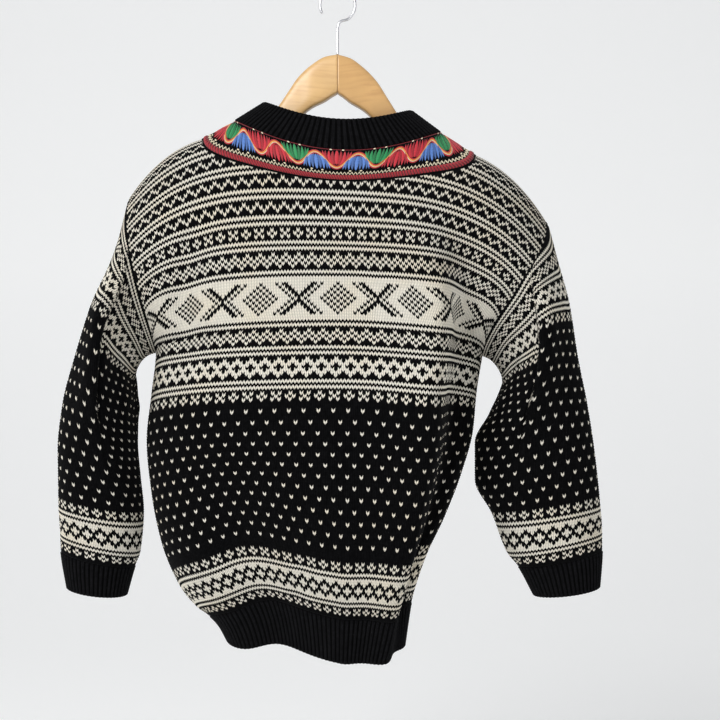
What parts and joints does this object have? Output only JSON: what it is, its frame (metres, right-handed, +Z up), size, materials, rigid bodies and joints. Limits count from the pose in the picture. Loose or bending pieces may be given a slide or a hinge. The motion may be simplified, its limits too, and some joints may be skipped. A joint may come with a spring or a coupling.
{
  "type": "norwegian sweater on a coat hanger",
  "caption": "Hollow knitted pullover with a woven neck band, ribbed edges and a two-colour pattern, hanging from a wooden coat hanger with a wire hook.",
  "frame": {"origin": "inner top of the hanger's hook, where it bears on a rail", "axes": "+Z up; -Y out of the garment's back, which is the side the picture shows; +X towards the wearer's right side"},
  "size_m": [0.6425, 0.2483, 0.7822],
  "materials": {
    "knit_black": "ribbed wool, matt",
    "knit_two_colour": "stranded wool knit in black and cream, matt",
    "woven_band": "woven braid with coloured scrolls",
    "beech": "satin varnish",
    "steel": "bright plated wire"
  },
  "bodies": {
    "root": {"back": "knit_two_colour", "front": "knit_two_colour", "sleeve_right": "knit_two_colour", "sleeve_left": "knit_two_colour", "neck_band": "woven_band", "neck_rib": "knit_black", "hem_rib": "knit_black", "cuff_right": "knit_black", "cuff_left": "knit_black", "hanger_arm_right": "beech", "hanger_arm_left": "beech", "hanger_hook": "steel"}
  },
  "joints": []
}
